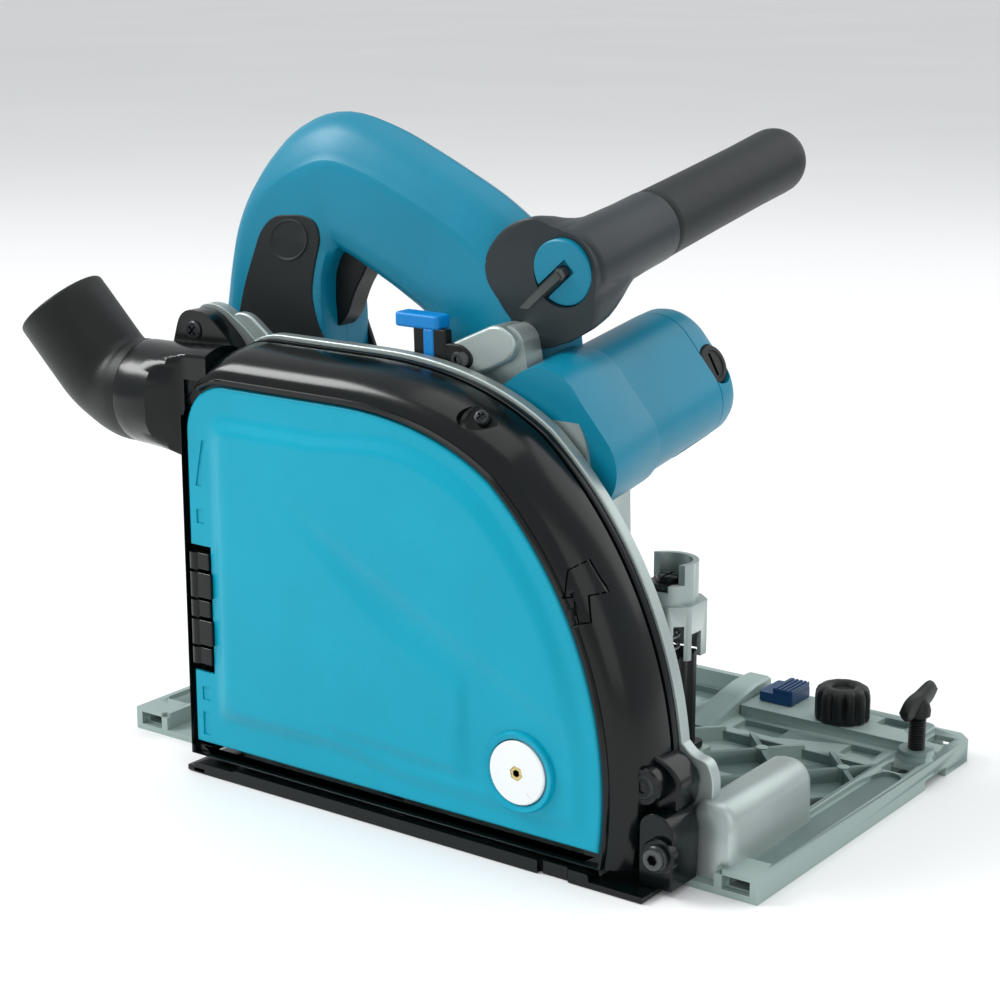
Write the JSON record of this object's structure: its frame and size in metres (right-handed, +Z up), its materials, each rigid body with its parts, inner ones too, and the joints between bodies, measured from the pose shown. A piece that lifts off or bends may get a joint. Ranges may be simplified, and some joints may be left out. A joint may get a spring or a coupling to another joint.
{
  "type": "plunge saw",
  "caption": "Compact plunge grooving saw: closed blade case with dust port on a ribbed base, swing-down motor head with D-handle and front grip.",
  "frame": {"origin": "on the sole, midway along the base, 5 mm inside the edge that faces the blade", "axes": "+X forward along the cut, +Y from the blade towards the motor, +Z up from the sole"},
  "size_m": [0.3783, 0.2563, 0.2934],
  "materials": {
    "cast_grey": "fine cast, satin",
    "cast_silver": "die-cast, satin silver",
    "blue_shell": "satin moulded plastic",
    "blue_door": "gloss moulded plastic",
    "gloss_black": "gloss moulded plastic",
    "soft_black": "fine matte texture",
    "grip_rubber": "matte",
    "bracket_grey": "satin charcoal",
    "bright_blue": "satin",
    "lever_blue": "satin",
    "steel": "machined",
    "black_steel": "black oxide",
    "copper": "bare copper",
    "brass": "bare",
    "carbon": "carbon",
    "dial_metal": "bright satin"
  },
  "bodies": {
    "base": {"base_plate": "cast_grey", "rail_channel": "cast_grey", "front_beam": "cast_grey", "rear_beam": "cast_grey", "side_shoe": "gloss_black", "shoe_bracket": "black_steel", "base_bolts": "black_steel", "pivot_bracket": "cast_silver", "pivot_shaft": "steel", "case_plate": "cast_silver", "case_cover": "gloss_black", "case_screws": "black_steel", "hinge_pin": "steel", "spring_pillar": "soft_black", "return_spring": "steel"},
    "head": {"gear_housing": "cast_silver", "depth_tower": "cast_silver", "depth_screw_spring": "steel", "motor_housing": "blue_shell", "motor_end_cap": "blue_shell", "field_stator": "steel", "armature_bearings": "steel", "brush_holders": "brass", "carbon_brushes": "carbon", "brush_caps": "soft_black", "spindle_bearings": "steel", "idler_bearings": "steel", "handle_left_shell": "blue_shell", "handle_right_shell": "blue_shell", "handle_rubber": "grip_rubber", "switch_body": "soft_black", "grip_bracket": "bracket_grey", "front_grip": "grip_rubber", "grip_cap": "blue_shell", "cord_gland": "grip_rubber", "housing_screws": "steel", "lever_pin": "black_steel"},
    "armature": {"armature_shaft": "steel", "armature_core": "copper", "commutator": "copper", "cooling_fan": "soft_black"},
    "idler": {"intermediate_gear": "steel"},
    "spindle_set": {"spindle": "steel", "drive_gear": "steel", "inner_flange": "steel", "outer_flange": "steel", "blade": "steel", "blade_bolt": "black_steel"},
    "door": {"door_panel": "blue_door"},
    "dial": {"lock_dial": "dial_metal"},
    "nozzle": {"dust_nozzle": "soft_black"},
    "track_lever": {"rail_lever": "lever_blue"},
    "track_knob": {"rail_knob": "soft_black"},
    "wing_front": {"wing_screw_front": "soft_black"},
    "wing_rear": {"wing_screw_rear": "soft_black"},
    "stop_screw": {"depth_screw": "black_steel"},
    "trigger": {"trigger": "soft_black"},
    "lock_button": {"lock_off_button": "soft_black"},
    "lock_lever": {"plunge_lock_lever": "bright_blue"},
    "wrench": {"hex_wrench": "black_steel"}
  },
  "joints": [
    {"name": "plunge", "type": "hinge", "parent": "base", "child": "head", "pos_m": [0.1455, 0, 0.021], "axis": [0, -1, 0], "range_deg": [0, 3.5], "stiffness_Nm_per_rad": 16, "springref_deg": -28.65, "deforming": ["return_spring"]},
    {"name": "spindle_spin", "type": "hinge", "parent": "head", "child": "spindle_set", "pos_m": [0, 0, 0.062], "axis": [0, 1, 0], "continuous": true},
    {"name": "idler_spin", "type": "hinge", "parent": "head", "child": "idler", "pos_m": [0.03419, 0, 0.12165], "axis": [0, 1, 0], "continuous": true},
    {"name": "armature_spin", "type": "hinge", "parent": "head", "child": "armature", "pos_m": [0.052, 0.044, 0.1669], "axis": [0, 0.9888, 0.1495], "continuous": true},
    {"name": "door_swing", "type": "hinge", "parent": "base", "child": "door", "pos_m": [-0.106, -0.0265, 0.08], "axis": [0, 0, -1], "range_deg": [0, 86]},
    {"name": "dial_turn", "type": "hinge", "parent": "door", "child": "dial", "pos_m": [0.072, -0.03, 0.041], "axis": [0, 1, 0], "range_deg": [0, 90]},
    {"name": "nozzle_swivel", "type": "hinge", "parent": "base", "child": "nozzle", "pos_m": [-0.144, -0.014, 0.1695], "axis": [1, 0, 0], "continuous": true},
    {"name": "track_lever_slide", "type": "slide", "parent": "base", "child": "track_lever", "axis": [1, 0, 0], "range_m": [0, 0.008]},
    {"name": "track_knob_turn", "type": "hinge", "parent": "base", "child": "track_knob", "pos_m": [0.112, 0.175, 0.012], "axis": [0, 0, 1], "range_deg": [-90, 90]},
    {"name": "wing_front_turn", "type": "hinge", "parent": "base", "child": "wing_front", "pos_m": [0.16, 0.1545, 0.012], "axis": [0, 0, 1], "continuous": true},
    {"name": "wing_rear_turn", "type": "hinge", "parent": "base", "child": "wing_rear", "pos_m": [-0.16, 0.1545, 0.012], "axis": [0, 0, 1], "continuous": true},
    {"name": "stop_screw_turn", "type": "hinge", "parent": "head", "child": "stop_screw", "pos_m": [0.0615, 0.1, 0.08], "axis": [0, 0, 1], "continuous": true},
    {"name": "trigger_pull", "type": "slide", "parent": "head", "child": "trigger", "axis": [-1, 0, 0], "range_m": [0, 0.006], "stiffness_N_per_m": 800, "springref_m": -0.004},
    {"name": "lock_button_push", "type": "slide", "parent": "head", "child": "lock_button", "axis": [0, 1, 0], "range_m": [0, 0.003], "stiffness_N_per_m": 1200, "springref_m": -0.002},
    {"name": "lock_lever_lift", "type": "hinge", "parent": "head", "child": "lock_lever", "pos_m": [0.014, 0.0138, 0.198], "axis": [0, 1, 0], "range_deg": [0, 12], "stiffness_Nm_per_rad": 0.4, "springref_deg": -17.19},
    {"name": "wrench_slide", "type": "slide", "parent": "head", "child": "wrench", "axis": [0, -0.9845, -0.1754], "range_m": [0, 0.11]}
  ],
  "couplings": [
    {"joint": "idler_spin", "follows": "spindle_spin", "ratio": -0.77419},
    {"joint": "armature_spin", "follows": "spindle_spin", "ratio": 4}
  ]
}
